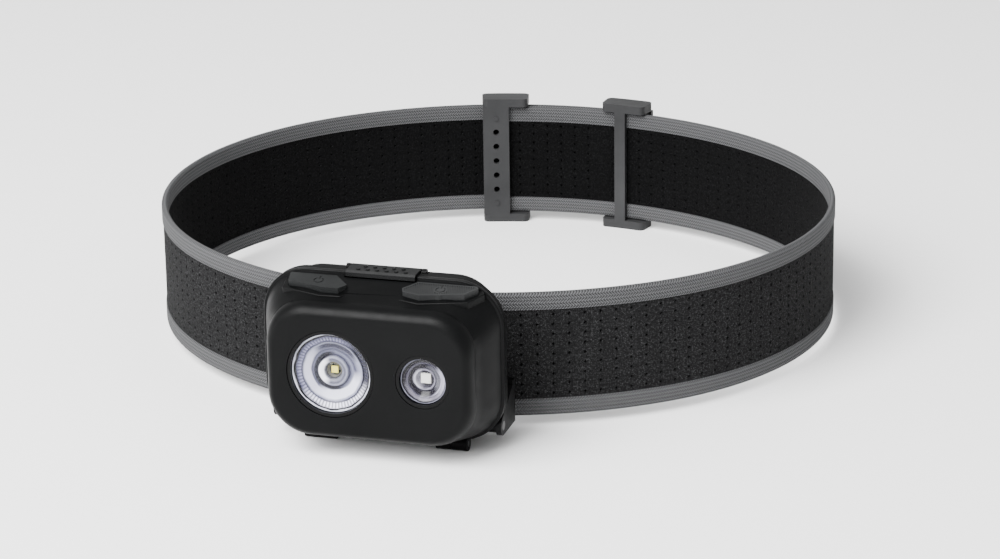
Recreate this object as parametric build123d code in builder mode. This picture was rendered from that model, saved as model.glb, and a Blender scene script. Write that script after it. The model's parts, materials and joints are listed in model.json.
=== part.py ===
"""Headlamp with a perforated headband: strap, slide buckles, tilting lamp, opening battery case.

Sizes are in millimetres. The part stands on its buckles and its case hinge: +Z is up, the lamp
faces -Y, and the origin is below the middle of the whole object. Sketch planes are placed from
the middle of the headband, so x, y and z below are measured from there.
"""
import os
from math import asin, cos, degrees, radians, sin, sqrt

from build123d import *

# ---------------------------------------------------------------- driving dimensions
# headband loop, seen from above: two wide arcs (front, rear) and two side arcs
WIDE_R = 96.6               # centre-line radius of the front and rear arcs
WIDE_SHIFT = 9.3            # their centres lie this far past the middle
SIDE_SHIFT = 8.0            # centres of the side arcs, left and right of the middle
STRAP_H = 33.0              # height of the strap, edge to edge
STRAP_T = 1.2               # thickness of the perforated panel
BINDING_T = 1.7             # thickness of the folded edge tapes
BINDING_H = 4.6             # visible height of each edge tape
EDGE_FOLD = 0.6             # tape that folds over past the panel's own edge
LAYER_SHIFT = 1.05          # half the distance between the two overlapping layers
RAMP_DEG = 8.0              # half the angle over which one layer crosses to the other

# buckles on the rear arc
LEFT_BUCKLE_DEG = 13.8      # angle of the left buckle from the rear centre
RIGHT_BUCKLE_DEG = 8.5      # angle of the right buckle from the rear centre
BUCKLE_W = 13.9             # width of the ears along the strap
BUCKLE_EAR_H = 2.5          # height of the ear past the strap edge
BUCKLE_PLATE_W = 8.1        # width of the holed plate
BUCKLE_BAR_W = 3.5          # width of the plain bar
BUCKLE_BAR_SHIFT = 0.9      # bar's middle, away from the plate side of the ear's middle
BUCKLE_WALL = 1.4           # thickness of plate and bar
BUCKLE_HOLE_R = 0.9
BUCKLE_HOLE_PITCH = 4.5
BUCKLE_HOLES = 5
BUCKLE_STUD_H = 0.3
STRAP_GAP = 0.3             # clearance round the strap in buckles and bracket

# lamp outline
CASE_W = 62.5               # width at the rim
CASE_TOP = 26.0             # rim top, from the middle of the strap
CASE_BOTTOM = -16.0         # rim bottom
RIM_R = 12.0                # corner radius of the rim
FACE_Y = -116.8             # front face
EDGE_Y = -112.3             # crisp line round the front face
SPLIT_Y = -102.0            # parting plane between head and rear case
CASE_BACK_Y = -92.5         # back of the rear case
EDGE_W = 53.8               # width at the crisp line
EDGE_TOP = 21.3
EDGE_BOTTOM = -13.9
EDGE_R = 11.0
FACE_INSET = 3.2            # width of the soft bevel round the face
LIP = 1.3                   # width of the head's rim lip
LIP_STEP = 0.7              # step from the lip down to the sloped sides
RIM_T = 1.4                 # width of the rear case's rim flange
WALL = 1.6                  # shell wall
BACK_INSET = 3.05           # rear case body, in from the rim at the sides
SPLIT_GAP = 0.1             # gap at the parting plane
BACK_FILLET = 4.0

# bracket and tilt pivot
PIVOT_Y = -100.0
PIVOT_Z = -12.5
PIVOT_R = 1.2               # pivot pin radius
EAR_R = 2.5                 # round end of the bracket arm
EAR_IN = 28.6               # inner face of the bracket arm
EAR_OUT = 30.0              # outer face of the bracket arm
POCKET_X = 28.4             # side of the pocket that the arm lies in
POCKET_TOP = -5.0
PLATE_Y = -91.6             # front of the bracket plate
PLATE_T = 2.0
PLATE_W = 46.0
PLATE_H = 39.0              # height over the strap loops
PLATE_SIDE_H = 24.0         # height of the plate beside the loops
LOOP_IN = 9.5               # strap loops: inner and outer edge of each rear bar
LOOP_OUT = 13.5
LOOP_BAR_T = 2.0
RUN = 0.05                  # running clearance of pins

# case hinge below the parting plane
HINGE_Z = -17.4
HINGE_R = 1.9
HINGE_PIN_R = 0.75
HINGE_IN = 13.2             # head knuckles start here
HINGE_MID = 17.3            # knuckles meet here
HINGE_OUT = 21.4
KNUCKLE_GAP = 0.1           # half the gap between neighbouring knuckles
KNUCKLE_CLEAR = 0.35        # clearance of a knuckle in the other half

# latch tab on the top of the rear case
TAB_HALF = 9.0
TAB_FRONT_Y = -104.2
TAB_BACK_Y = -97.6
TAB_TOP = 26.6
TAB_T = 1.5
TAB_CLEAR = 0.3
TAB_BARREL_R = 1.0
TAB_PIN_R = 0.5
TAB_PIN_Y = -98.6
TAB_LUG = 1.1
DOT_R = 0.5
DOT_H = 0.25
DOT_PITCH = 2.46

# buttons on a plane that leans forward
BUTTON_Y = -107.3
BUTTON_Z = 24.5
BUTTON_LEAN = 11.0          # degrees
BUTTON_STEP = 0.9           # cap stands this far above its skirt
BUTTON_H = 2.6
BUTTON_TRAVEL = 0.5
BUTTON_CLEAR = 0.25
SKIRT_W = 1.0
STEM_R = 1.6
STEM_V = -1.0
POWER_STEM_X = -15.0
MODE_STEM_X = 16.5
SEAL_T = 0.6
SWITCH_W = 4.4
SWITCH_H = 1.5
RIB_PITCH = 0.6
RIB_COUNT = 32
RIB_W = 0.3
RIB_H = 0.18
RIB_TURN = 20.0             # degrees
RIB_MARGIN = 0.5
SIGN_R = 1.3                # sign sunk into each cap

# optics
SPOT_X = -9.5
LENS_Z = 3.55
FLOOD_X = 14.25
SPOT_R = 10.3
FLOOD_R = 5.95
BEZEL_W = 0.85
LENS_Y = -115.6             # front of both lenses
FLANGE_T = 1.3
LENS_GAP = 0.1
LED_W = 3.2
LED_T = 0.6
LED_DOME_R = 1.25

# boards and battery tray
BOARD_Y = -108.2            # front of the LED board
BOARD_T = 1.2
BOARD_HALF = 21.5
BOARD_TOP = 16.0
BOARD_BOTTOM = -10.0
SPREADER_T = 0.8
TRAY_Y = -106.0
TRAY_T = 1.1
TRAY_HALF = 26.2
TRAY_TOP = 16.4
TRAY_BOTTOM = -12.8
TRAY_R = 9.0
TRAY_WALL_H = 24.4
TRAY_RIB_H = 22.6
CELL_R = 5.25
CELL_L = 43.3
CELL_NIB_R = 1.9
CELL_NIB_L = 1.2
CELL_PITCH = 11.0
CELL_Z = 5.0
CELL_Y = -99.6
SPRING_L = 2.4
SPRING_R = 2.6
SPRING_WIRE_R = 0.25
CONTACT_T = 0.4
POCKET_DEPTH = 3.3          # floor of the button pocket, from the cap's top
SEAL_DEPTH = 4.5            # top of the rubber disc under each button
SEAL_R = 3.0
SEAL_RING_T = 0.8
TAIL_WALL = 1.0             # wall round the hollow at the rear of each lens
GASKET_T = 0.45
GASKET_W = 0.9
BOSS_IN = 24.0              # inner end of the pivot pins
PIVOT_BOSS_R = 1.9
POCKET_WALL = 1.2           # shell wall inside the arm pockets
SCREW_BITE = 3.2
END_WALL = 1.2
SCREW_R = 0.9
SCREW_HEAD_R = 1.7
SCREW_HEAD_T = 0.6
BOSS_R = 1.8
TRAY_SCREW_X = 4.7

# ---------------------------------------------------------------- derived values
JOIN_DEG = degrees(asin(SIDE_SHIFT / sqrt(SIDE_SHIFT**2 + WIDE_SHIFT**2)))
SIDE_R = WIDE_R - sqrt(SIDE_SHIFT**2 + WIDE_SHIFT**2)
LOWEST = STRAP_H / 2 + STRAP_GAP + BUCKLE_EAR_H
PAIR_HALF = LAYER_SHIFT + BINDING_T / 2 + STRAP_GAP       # half the space for both layers
BUCKLE_OUT_R = WIDE_R + PAIR_HALF + BUCKLE_WALL
BUCKLE_IN_R = WIDE_R - PAIR_HALF - BUCKLE_WALL
BUCKLE_HALF_DEG = degrees(BUCKLE_W / 2 / WIDE_R)
REAR_Y = BUCKLE_OUT_R * cos(radians(RIGHT_BUCKLE_DEG - BUCKLE_HALF_DEG)) - WIDE_SHIFT
MID_Y = -(FACE_Y + REAR_Y) / 2
CELL_HALF = (CELL_L + CELL_NIB_L + SPRING_L) / 2          # inner faces of the contacts
TRAY_REAR_Y = CELL_Y + CELL_R - 0.6
BOSS_SPOTS = [(sx * (BOARD_HALF - 2.0), z) for sx in (-1, 1) for z in (BOARD_BOTTOM + 1.8, BOARD_TOP - 1.8)]
TRAY_SPOTS = [(TRAY_SCREW_X, CELL_Z + s * CELL_PITCH / 2) for s in (-1, 1)]


def level(z, across=0.0):
    """Horizontal plane at height z, with its origin across from the middle of the lamp."""
    return Plane(origin=(across, MID_Y, LOWEST + z))


def band_level(z):
    """Horizontal plane at height z, with the middle of the band as its origin."""
    return level(z, LAYER_SHIFT)


def upright(y):
    """Plane across the lamp at depth y: sketch x is X, sketch y is Z, and it faces forward."""
    return Plane(origin=(0, MID_Y + y, LOWEST), x_dir=(1, 0, 0), z_dir=(0, -1, 0))


def beside(x):
    """Plane along the lamp at x: sketch x is Y, sketch y is Z, and it faces right."""
    return Plane(origin=(x, MID_Y, LOWEST), x_dir=(0, 1, 0), z_dir=(1, 0, 0))


def button_plane(depth=0.0):
    """Plane of the button tops, moved down by depth; sketch y climbs towards the rear."""
    lean = radians(BUTTON_LEAN)
    normal = Vector(0, -sin(lean), cos(lean))
    origin = Vector(0, MID_Y + BUTTON_Y, LOWEST + BUTTON_Z) - normal * depth
    return Plane(origin=origin, x_dir=(1, 0, 0), z_dir=normal)


def rounded(half_w, low, high, radius):
    """Rounded rectangle from -half_w to half_w and from low to high."""
    with BuildSketch() as outline:
        with Locations((0, (low + high) / 2)):
            RectangleRounded(2 * half_w, high - low, radius)
    return outline.sketch


def finish(part, name):
    """Label a finished piece and write it."""
    part.label = name
    export_step(part, f"parts/{name}.step")


os.makedirs("parts", exist_ok=True)

# ================================================================ headband


def strap_edge(offset):
    """One long edge of the strap, seen from above, from its outer end round to its inner end."""
    outer, inner = LAYER_SHIFT + offset, offset - LAYER_SHIFT
    outer_end = 90 - RIGHT_BUCKLE_DEG - BUCKLE_HALF_DEG * 0.6
    inner_end = 90 + LEFT_BUCKLE_DEG + BUCKLE_HALF_DEG * 0.6
    rear, front = (0, -WIDE_SHIFT), (0, WIDE_SHIFT)
    with BuildLine() as line:
        first = CenterArc(rear, WIDE_R + outer, outer_end, 90 + JOIN_DEG - outer_end)
        left = CenterArc((-SIDE_SHIFT, 0), SIDE_R + outer, 90 + JOIN_DEG, 180 - 2 * JOIN_DEG)
        into = CenterArc(front, WIDE_R + outer, 270 - JOIN_DEG, JOIN_DEG - RAMP_DEG)
        away = CenterArc(front, WIDE_R + inner, 270 + RAMP_DEG, JOIN_DEG - RAMP_DEG)
        ramp = Spline([into @ 1, away @ 0], tangents=[into % 1, away % 0])
        right = CenterArc((SIDE_SHIFT, 0), SIDE_R + inner, JOIN_DEG - 90, 180 - 2 * JOIN_DEG)
        last = CenterArc(rear, WIDE_R + inner, 90 - JOIN_DEG, inner_end - 90 + JOIN_DEG)
    return [first, left, into, ramp, away, right, last]


def strap_plan(thickness):
    """The strap seen from above, as a face of the given thickness."""
    with BuildSketch() as plan:
        with BuildLine():
            ends = []
            for offset in (thickness / 2, -thickness / 2):
                edge = strap_edge(offset)
                add(edge)
                ends.append((edge[0] @ 0, edge[-1] @ 1))
            Line(ends[0][0], ends[1][0])
            Line(ends[0][1], ends[1][1])
        make_face()
    return plan.sketch


with BuildPart() as strap_panel:
    with BuildSketch(band_level(EDGE_FOLD - STRAP_H / 2)):
        add(strap_plan(STRAP_T))
    extrude(amount=STRAP_H - 2 * EDGE_FOLD)
finish(strap_panel.part, "strap_panel")

for tape_name, tape_z in (("upper_binding", STRAP_H / 2 - BINDING_H), ("lower_binding", -STRAP_H / 2)):
    with BuildPart() as binding:
        with BuildSketch(band_level(tape_z)):
            add(strap_plan(BINDING_T))
        extrude(amount=BINDING_H)
        with BuildSketch(band_level(EDGE_FOLD - STRAP_H / 2)):
            add(strap_plan(STRAP_T))
        extrude(amount=STRAP_H - 2 * EDGE_FOLD, mode=Mode.SUBTRACT)
    finish(binding.part, tape_name)

# ================================================================ buckles


def arc_band(r_in, r_out, start, sweep):
    """Curved strip round the centre of the rear arc, seen from above."""
    with BuildSketch() as strip:
        with BuildLine():
            near = CenterArc((0, -WIDE_SHIFT), r_in, start, sweep)
            far = CenterArc((0, -WIDE_SHIFT), r_out, start, sweep)
            Line(near @ 0, far @ 0)
            Line(near @ 1, far @ 1)
        make_face()
    return strip.sketch


def buckle(angle, plate_outside):
    """Slide buckle at an angle from the rear centre (positive to the left)."""
    turn = 1 if plate_outside else -1
    start = 90 + angle - BUCKLE_HALF_DEG
    plate_sweep = degrees(BUCKLE_PLATE_W / WIDE_R)
    bar_sweep = degrees(BUCKLE_BAR_W / WIDE_R)
    plate_start = start if plate_outside else start + 2 * BUCKLE_HALF_DEG - plate_sweep
    bar_start = 90 + angle - bar_sweep / 2 + turn * degrees(BUCKLE_BAR_SHIFT / WIDE_R)
    inner = (BUCKLE_IN_R, BUCKLE_IN_R + BUCKLE_WALL)
    outer = (BUCKLE_OUT_R - BUCKLE_WALL, BUCKLE_OUT_R)
    plate_r, bar_r = (outer, inner) if plate_outside else (inner, outer)
    with BuildPart() as piece:
        for low in (-LOWEST, LOWEST - BUCKLE_EAR_H):
            with BuildSketch(band_level(low)):
                add(arc_band(BUCKLE_IN_R, BUCKLE_OUT_R, start, 2 * BUCKLE_HALF_DEG))
            extrude(amount=BUCKLE_EAR_H)
        fillet(piece.edges().filter_by(Axis.Z), 1.6)
        for radii, first, sweep in ((plate_r, plate_start, plate_sweep), (bar_r, bar_start, bar_sweep)):
            with BuildSketch(band_level(-LOWEST + BUCKLE_EAR_H)):
                add(arc_band(radii[0], radii[1], first, sweep))
            extrude(amount=2 * (LOWEST - BUCKLE_EAR_H))
        middle = radians(plate_start + plate_sweep / 2)
        out = Vector(cos(middle), sin(middle), 0)
        face_r = plate_r[1] if plate_outside else plate_r[0]
        centre = Vector(LAYER_SHIFT, MID_Y - WIDE_SHIFT, LOWEST) + out * face_r
        face = Plane(origin=centre, x_dir=Vector(-sin(middle), cos(middle), 0), z_dir=out * turn)
        with BuildSketch(face):
            with GridLocations(1, BUCKLE_HOLE_PITCH, 1, BUCKLE_HOLES):
                Circle(BUCKLE_HOLE_R)
        extrude(amount=-2 * BUCKLE_WALL, both=True, mode=Mode.SUBTRACT)
        with BuildSketch(face.offset(-BUCKLE_STUD_H)):
            for side in (-1, 1):
                with Locations((0, side * (BUCKLE_HOLES + 0.9) / 2 * BUCKLE_HOLE_PITCH)):
                    Circle(BUCKLE_HOLE_R * 0.8)
        extrude(amount=2 * BUCKLE_STUD_H)
    return piece.part


finish(buckle(LEFT_BUCKLE_DEG, False), "left_buckle")
finish(buckle(-RIGHT_BUCKLE_DEG, True), "right_buckle")

# ================================================================ bracket
STRAP_FRONT_Y = WIDE_SHIFT - WIDE_R - LAYER_SHIFT - BINDING_T / 2
LOOP_Y = WIDE_SHIFT - sqrt((WIDE_R - PAIR_HALF) ** 2 - LOOP_OUT**2)

with BuildPart() as bracket:
    with BuildSketch(upright(PLATE_Y + PLATE_T)):
        RectangleRounded(PLATE_W, PLATE_SIDE_H, 5)
        RectangleRounded(2 * LOOP_OUT, PLATE_H, 1)
    extrude(amount=PLATE_T)
    with BuildSketch(upright(PLATE_Y + PLATE_T)):
        RectangleRounded(2 * (LOOP_IN - 1.5), PLATE_H - 10, 3)
    extrude(amount=PLATE_T / 2, mode=Mode.SUBTRACT)
    for sx in (-1, 1):
        middle_x = sx * (LOOP_IN + LOOP_OUT) / 2
        with BuildSketch(upright(LOOP_Y + LOOP_BAR_T)):
            with Locations((middle_x, 0)):
                RectangleRounded(LOOP_OUT - LOOP_IN, PLATE_H, 1)
        extrude(amount=LOOP_BAR_T)
        for sz in (-1, 1):
            bridge_h = PLATE_H / 2 - STRAP_H / 2 - STRAP_GAP
            with BuildSketch(upright(LOOP_Y + LOOP_BAR_T / 2)):
                with Locations((middle_x, sz * (PLATE_H / 2 - bridge_h / 2))):
                    Rectangle(LOOP_OUT - LOOP_IN, bridge_h)
            extrude(amount=LOOP_Y + LOOP_BAR_T / 2 - PLATE_Y - PLATE_T / 2)
        with BuildSketch(beside(sx * EAR_IN if sx > 0 else -EAR_OUT)):
            with BuildLine():
                Polyline(
                    (PIVOT_Y - EAR_R * 0.55, PIVOT_Z + EAR_R * 0.84),
                    (PLATE_Y + PLATE_T, POCKET_TOP + 1.5),
                    (PLATE_Y + PLATE_T, PIVOT_Z - 2.5),
                    (PIVOT_Y + EAR_R * 0.1, PIVOT_Z - EAR_R * 0.99),
                    close=True,
                )
            make_face()
            with Locations((PIVOT_Y, PIVOT_Z)):
                Circle(EAR_R)
        extrude(amount=EAR_OUT - EAR_IN)
        with BuildSketch(upright(PLATE_Y + PLATE_T)):
            with Locations((sx * (PLATE_W / 2 + EAR_OUT) / 2, (POCKET_TOP + 1.5 + PIVOT_Z - 2.5) / 2)):
                Rectangle(EAR_OUT - PLATE_W / 2 + 4, POCKET_TOP + 4.0 - PIVOT_Z)
        extrude(amount=PLATE_T)
        with BuildSketch(beside(0)):
            with Locations((PIVOT_Y, PIVOT_Z)):
                Circle(PIVOT_R + RUN)
        extrude(amount=sx * 40, mode=Mode.SUBTRACT)
    with BuildSketch(upright(0)):
        with Locations((-40 - EAR_OUT, 0), (40 + EAR_OUT, 0)):
            Rectangle(80, 80)
    extrude(amount=130, mode=Mode.SUBTRACT)
finish(bracket.part, "bracket")

# ================================================================ rear case
CASE_HALF = CASE_W / 2
BODY_HALF = CASE_HALF - BACK_INSET
BODY_TOP = CASE_TOP - 1.0
BODY_BOTTOM = CASE_BOTTOM + 0.5
CAVITY_R = RIM_R - 3.0


def bars_along_x(low_x, high_x, y, z, radius):
    """Two round bars along X, one on each side of the middle."""
    with BuildPart() as bars:
        for start in (low_x, -high_x):
            with BuildSketch(beside(start)):
                with Locations((y, z)):
                    Circle(radius)
            extrude(amount=high_x - low_x)
    return bars.part


def arm_pockets():
    """The room beside the case in which the bracket arms lie."""
    with BuildPart() as rooms:
        for start in (POCKET_X, -POCKET_X - 10):
            with BuildSketch(beside(start)):
                with Locations((PIVOT_Y, PIVOT_Z)):
                    Circle(EAR_R + 0.6)
                with Locations((PIVOT_Y + 8, POCKET_TOP - 8)):
                    Rectangle(16, 20)
                with Locations((PIVOT_Y, PIVOT_Z - 10)):
                    Rectangle(2 * EAR_R + 1.2, 20)
            extrude(amount=10)
    return rooms.part


def tab_notch():
    """The recess across the parting line that the latch tab lies in."""
    with BuildPart() as notch:
        with BuildSketch(upright(TAB_BACK_Y + TAB_CLEAR)):
            with Locations((0, TAB_TOP - 2 * TAB_BARREL_R - TAB_CLEAR + 5)):
                Rectangle(2 * (TAB_HALF + TAB_CLEAR), 10)
        extrude(amount=TAB_BACK_Y - TAB_FRONT_Y + 2 * TAB_CLEAR)
    return notch.part


def gasket_outline(spare):
    """The closed ring in which the gasket lies, wider by spare on both sides."""
    with BuildSketch() as outline:
        half = BODY_HALF - GASKET_W / 2
        low, high = BODY_BOTTOM + GASKET_W / 2, BODY_TOP - GASKET_W / 2
        add(rounded(half + GASKET_W / 2 + spare, low - GASKET_W / 2 - spare, high + GASKET_W / 2 + spare, RIM_R - 1))
        inner = GASKET_W / 2 + spare
        add(rounded(half - inner, low + inner, high - inner, RIM_R - 2), mode=Mode.SUBTRACT)
    return outline.sketch


with BuildPart() as rear_case:
    with BuildSketch(upright(SPLIT_Y + RIM_T)):
        add(rounded(CASE_HALF, CASE_BOTTOM, CASE_TOP, RIM_R))
    extrude(amount=RIM_T - SPLIT_GAP / 2)
    with BuildSketch(upright(CASE_BACK_Y)):
        add(rounded(BODY_HALF, BODY_BOTTOM, BODY_TOP, RIM_R - 1))
    extrude(amount=CASE_BACK_Y - SPLIT_Y - RIM_T)
    fillet(rear_case.faces().sort_by(Axis.Y)[-1].edges(), BACK_FILLET)
    with BuildSketch(upright(CASE_BACK_Y - WALL)):
        add(rounded(BODY_HALF - WALL, BODY_BOTTOM + WALL, BODY_TOP - WALL, CAVITY_R))
    extrude(amount=CASE_BACK_Y - SPLIT_Y, mode=Mode.SUBTRACT)
    add(bars_along_x(HINGE_MID + KNUCKLE_GAP, HINGE_OUT, SPLIT_Y, HINGE_Z, HINGE_R))
    add(arm_pockets(), mode=Mode.SUBTRACT)
    # bosses that carry the tilt pivots
    add(bars_along_x(BOSS_IN, POCKET_X, PIVOT_Y, PIVOT_Z, PIVOT_BOSS_R))
    add(bars_along_x(BOSS_IN, EAR_OUT, PIVOT_Y, PIVOT_Z, PIVOT_R), mode=Mode.SUBTRACT)
    add(tab_notch(), mode=Mode.SUBTRACT)
    for lug_x in (TAB_HALF + TAB_CLEAR, -TAB_HALF - TAB_CLEAR - TAB_LUG):
        with BuildSketch(beside(lug_x)):
            with Locations((TAB_PIN_Y, TAB_TOP - TAB_BARREL_R)):
                Circle(TAB_BARREL_R)
            with Locations((TAB_PIN_Y, TAB_TOP - 2 * TAB_BARREL_R)):
                Rectangle(2 * TAB_BARREL_R, 2 * TAB_BARREL_R)
        extrude(amount=TAB_LUG)
    add(
        bars_along_x(0, TAB_HALF + TAB_CLEAR + TAB_LUG, TAB_PIN_Y, TAB_TOP - TAB_BARREL_R, TAB_PIN_R),
        mode=Mode.SUBTRACT,
    )
    add(
        bars_along_x(HINGE_IN - KNUCKLE_GAP, HINGE_MID, SPLIT_Y, HINGE_Z, HINGE_R + KNUCKLE_CLEAR),
        mode=Mode.SUBTRACT,
    )
    add(bars_along_x(HINGE_MID, HINGE_OUT, SPLIT_Y, HINGE_Z, HINGE_PIN_R), mode=Mode.SUBTRACT)
    # groove for the gasket in the parting face
    with BuildSketch(upright(SPLIT_Y + GASKET_T)):
        add(gasket_outline(0.0))
    extrude(amount=GASKET_T + HINGE_R, mode=Mode.SUBTRACT)
finish(rear_case.part, "rear_case")

with BuildPart() as case_gasket:
    with BuildSketch(upright(SPLIT_Y + GASKET_T)):
        add(gasket_outline(0.0))
    extrude(amount=GASKET_T - SPLIT_GAP / 2)
    add(arm_pockets(), mode=Mode.SUBTRACT)
    add(tab_notch(), mode=Mode.SUBTRACT)
    add(
        bars_along_x(HINGE_IN - KNUCKLE_GAP, HINGE_OUT + 1, SPLIT_Y, HINGE_Z, HINGE_R + KNUCKLE_CLEAR),
        mode=Mode.SUBTRACT,
    )
finish(case_gasket.part, "case_gasket")

for side_name, pin_start in (("left", -EAR_OUT), ("right", BOSS_IN)):
    with BuildPart() as pivot_pin:
        with BuildSketch(beside(pin_start)):
            with Locations((PIVOT_Y, PIVOT_Z)):
                Circle(PIVOT_R)
        extrude(amount=EAR_OUT - BOSS_IN)
    finish(pivot_pin.part, f"{side_name}_pivot_pin")
    with BuildPart() as hinge_pin:
        with BuildSketch(beside(HINGE_IN if side_name == "right" else -HINGE_OUT)):
            with Locations((SPLIT_Y, HINGE_Z)):
                Circle(HINGE_PIN_R)
        extrude(amount=HINGE_OUT - HINGE_IN)
    finish(hinge_pin.part, f"{side_name}_hinge_pin")

# ================================================================ latch tab
with BuildPart() as latch_tab:
    with BuildSketch(beside(-TAB_HALF)):
        with BuildLine():
            Polyline(
                (TAB_PIN_Y, TAB_TOP),
                (TAB_FRONT_Y + 0.5, TAB_TOP),
                (TAB_FRONT_Y, TAB_TOP - 0.5),
                (TAB_FRONT_Y, TAB_TOP - TAB_T),
                (TAB_PIN_Y, TAB_TOP - TAB_T),
                close=True,
            )
        make_face()
        with Locations((TAB_PIN_Y, TAB_TOP - TAB_BARREL_R)):
            Circle(TAB_BARREL_R)
    extrude(amount=2 * TAB_HALF)
    with BuildSketch(level(TAB_TOP - 0.2)):
        for row, count in enumerate((6, 5)):
            with Locations((0, TAB_FRONT_Y + 1.6 + row * DOT_PITCH * 0.87)):
                with GridLocations(DOT_PITCH, 1, count, 1):
                    Circle(DOT_R)
    extrude(amount=0.2 + DOT_H)
    add(bars_along_x(0, TAB_HALF, TAB_PIN_Y, TAB_TOP - TAB_BARREL_R, TAB_PIN_R + RUN), mode=Mode.SUBTRACT)
finish(latch_tab.part, "latch_tab")

with BuildPart() as latch_pin:
    with BuildSketch(beside(-TAB_HALF - TAB_CLEAR - TAB_LUG)):
        with Locations((TAB_PIN_Y, TAB_TOP - TAB_BARREL_R)):
            Circle(TAB_PIN_R)
    extrude(amount=2 * (TAB_HALF + TAB_CLEAR + TAB_LUG))
finish(latch_pin.part, "latch_pin")

# ================================================================ button outlines
# on the button plane: x is X, y climbs to the rear
POWER_OUTLINE = [(-23.3, 3.1), (-11.2, 3.1), (-7.2, -1.1), (-9.0, -3.1), (-13.2, -3.1), (-22.6, -0.8)]
MODE_OUTLINE = [(9.9, 3.1), (25.0, 3.1), (25.6, 2.2), (22.9, -1.2), (11.9, -3.3), (7.4, -2.2), (6.8, -0.5)]


def outline_of(points, grow, corner=0.4):
    """A button's outline, grown by an even amount, with its corners rounded."""
    with BuildSketch() as outline:
        with BuildLine():
            Polyline(*points, close=True)
        make_face()
        if grow:
            offset(amount=grow, kind=Kind.INTERSECTION)
        fillet(outline.vertices(), corner)
    return outline.sketch


# ================================================================ front shell
EDGE_HALF = EDGE_W / 2
SIDE_HALF = CASE_HALF - LIP_STEP
SHELL_TOP = CASE_TOP - LIP_STEP
SHELL_BOTTOM = CASE_BOTTOM + LIP_STEP
BEVEL_STEPS = (0.0, 0.35, 0.7, 0.9, 1.0)    # how far forward each outline of the bevel lies


def bevel_inset(step):
    """How far the soft bevel has turned in at a share of its depth."""
    return FACE_INSET * (1 - sqrt(max(0.0, 1 - step**2)))


def face_outline(inset):
    """Outline of the front, moved in from the crisp line."""
    return rounded(EDGE_HALF - inset, EDGE_BOTTOM + inset, EDGE_TOP - inset, EDGE_R - inset * 0.6)


with BuildPart() as front_shell:
    with BuildSketch(upright(SPLIT_Y - SPLIT_GAP / 2)):
        add(rounded(CASE_HALF, CASE_BOTTOM, CASE_TOP, RIM_R))
    extrude(amount=LIP)
    with BuildSketch(upright(SPLIT_Y - LIP)):
        add(rounded(SIDE_HALF, SHELL_BOTTOM, SHELL_TOP, RIM_R))
    with BuildSketch(upright(EDGE_Y)):
        add(face_outline(0))
    loft(ruled=True)
    for step, following in zip(BEVEL_STEPS, BEVEL_STEPS[1:]):
        for share in (step, following):
            with BuildSketch(upright(EDGE_Y + share * (FACE_Y - EDGE_Y))):
                add(face_outline(bevel_inset(share)))
        loft(ruled=True)
    # hollow inside
    with BuildSketch(upright(SPLIT_Y)):
        add(rounded(POCKET_X - POCKET_WALL, SHELL_BOTTOM + WALL, SHELL_TOP - WALL - 0.5, CAVITY_R))
    with BuildSketch(upright(EDGE_Y)):
        add(rounded(EDGE_HALF - WALL, EDGE_BOTTOM + WALL, EDGE_TOP - WALL, EDGE_R - WALL))
    loft(ruled=True, mode=Mode.SUBTRACT)
    with BuildSketch(upright(EDGE_Y)):
        add(rounded(EDGE_HALF - WALL - 1, EDGE_BOTTOM + WALL + 1, EDGE_TOP - WALL - 1, EDGE_R - WALL - 1))
    extrude(amount=EDGE_Y - FACE_Y - WALL, mode=Mode.SUBTRACT)
    # lens openings
    for lens_x, lens_r in ((SPOT_X, SPOT_R), (FLOOD_X, FLOOD_R)):
        with BuildSketch(upright(FACE_Y + 4)):
            with Locations((lens_x, LENS_Z)):
                Circle(lens_r + BEZEL_W + 1.0)
        extrude(amount=4)
        with BuildSketch(upright(FACE_Y + 5)):
            with Locations((lens_x, LENS_Z)):
                Circle(lens_r + BEZEL_W + LENS_GAP)
        extrude(amount=6, mode=Mode.SUBTRACT)
    # skirts round the buttons, with a pocket for each cap and a hole for its stem
    for outline, stem_x in ((POWER_OUTLINE, POWER_STEM_X), (MODE_OUTLINE, MODE_STEM_X)):
        with BuildSketch(button_plane(SEAL_DEPTH)):
            add(outline_of(outline, BUTTON_CLEAR + SKIRT_W))
        extrude(amount=SEAL_DEPTH - BUTTON_STEP)
        with BuildSketch(button_plane(POCKET_DEPTH)):
            add(outline_of(outline, BUTTON_CLEAR))
        extrude(amount=POCKET_DEPTH + 2, mode=Mode.SUBTRACT)
        with BuildSketch(button_plane(SEAL_DEPTH + 1)):
            with Locations((stem_x, STEM_V)):
                Circle(STEM_R + BUTTON_CLEAR)
        extrude(amount=SEAL_DEPTH, mode=Mode.SUBTRACT)
    # screw bosses
    with BuildSketch(upright(BOARD_Y)):
        with Locations(*BOSS_SPOTS, *TRAY_SPOTS):
            Circle(BOSS_R)
    extrude(amount=BOARD_Y - FACE_Y - WALL)
    with BuildSketch(upright(BOARD_Y)):
        with Locations(*BOSS_SPOTS, *TRAY_SPOTS):
            Circle(SCREW_R)
    extrude(amount=SCREW_BITE + 0.2, mode=Mode.SUBTRACT)
    add(bars_along_x(HINGE_IN, HINGE_MID - KNUCKLE_GAP, SPLIT_Y, HINGE_Z, HINGE_R))
    add(arm_pockets(), mode=Mode.SUBTRACT)
    add(tab_notch(), mode=Mode.SUBTRACT)
    add(
        bars_along_x(HINGE_MID, HINGE_OUT + 0.2, SPLIT_Y, HINGE_Z, HINGE_R + KNUCKLE_CLEAR),
        mode=Mode.SUBTRACT,
    )
    add(bars_along_x(HINGE_IN, HINGE_MID, SPLIT_Y, HINGE_Z, HINGE_PIN_R + RUN), mode=Mode.SUBTRACT)
finish(front_shell.part, "front_shell")

# ================================================================ optics


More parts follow.
